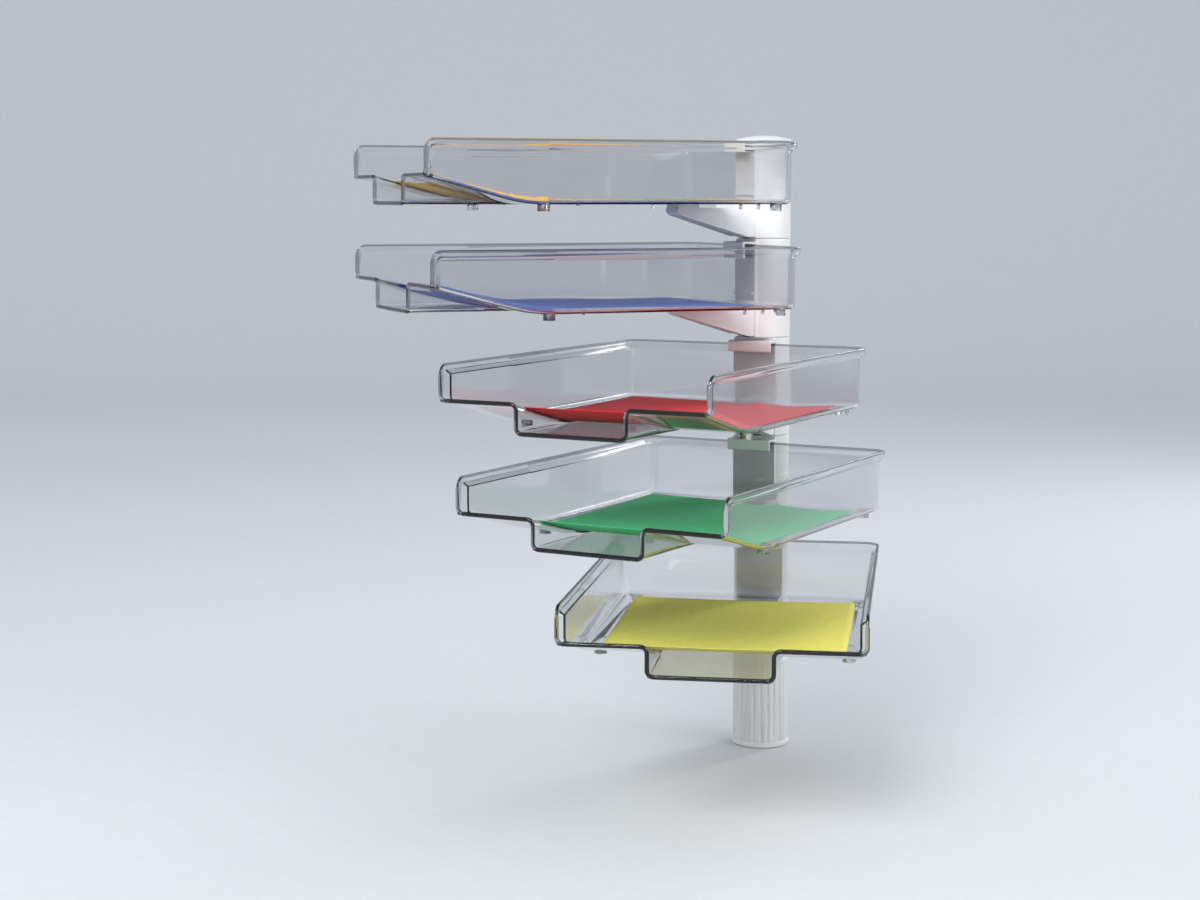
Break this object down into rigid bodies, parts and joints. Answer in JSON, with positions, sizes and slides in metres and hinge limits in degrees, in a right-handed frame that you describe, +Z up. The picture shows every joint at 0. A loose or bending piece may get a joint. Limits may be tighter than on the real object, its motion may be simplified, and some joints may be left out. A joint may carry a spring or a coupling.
{
  "type": "swivel letter tray column",
  "caption": "Desk column of stacked swivel units, each carrying a clear letter tray with a flared rim, a ramped front and a finger trough.",
  "frame": {"origin": "on the column's axis at the desk, which is the mouth of the threaded hole in the base plug", "axes": "+Z up along the column; a tray at yaw 0 opens towards -Y"},
  "size_m": [0.5017, 0.5, 0.5966],
  "materials": {
    "white_plastic": "satin",
    "steel": "satin",
    "washer_plastic": "matte",
    "clear_smoky": "gloss",
    "orange_sheet": "matte",
    "blue_sheet": "matte",
    "red_sheet": "matte",
    "green_sheet": "matte",
    "yellow_sheet": "matte"
  },
  "bodies": {
    "column": {"base_sleeve": "white_plastic", "base_plug": "steel", "riser": "white_plastic", "post": "steel", "glide_washers": "washer_plastic", "retaining_ring": "steel", "cap": "white_plastic"},
    "carrier_1": {"swivel_unit_1": "white_plastic", "tray_1": "clear_smoky", "sheet_1": "orange_sheet"},
    "carrier_2": {"swivel_unit_2": "white_plastic", "tray_2": "clear_smoky", "sheet_2": "blue_sheet"},
    "carrier_3": {"swivel_unit_3": "white_plastic", "tray_3": "clear_smoky", "sheet_3": "red_sheet"},
    "carrier_4": {"swivel_unit_4": "white_plastic", "tray_4": "clear_smoky", "sheet_4": "green_sheet"},
    "carrier_5": {"swivel_unit_5": "white_plastic", "tray_5": "clear_smoky", "sheet_5": "yellow_sheet"}
  },
  "joints": [
    {"name": "swivel_1", "type": "hinge", "parent": "column", "child": "carrier_1", "pos_m": [0, 0, 0.54], "axis": [0, 0, 1], "continuous": true},
    {"name": "swivel_2", "type": "hinge", "parent": "column", "child": "carrier_2", "pos_m": [0, 0, 0.445], "axis": [0, 0, 1], "continuous": true},
    {"name": "swivel_3", "type": "hinge", "parent": "column", "child": "carrier_3", "pos_m": [0, 0, 0.35], "axis": [0, 0, 1], "continuous": true},
    {"name": "swivel_4", "type": "hinge", "parent": "column", "child": "carrier_4", "pos_m": [0, 0, 0.255], "axis": [0, 0, 1], "continuous": true},
    {"name": "swivel_5", "type": "hinge", "parent": "column", "child": "carrier_5", "pos_m": [0, 0, 0.16], "axis": [0, 0, 1], "continuous": true}
  ]
}
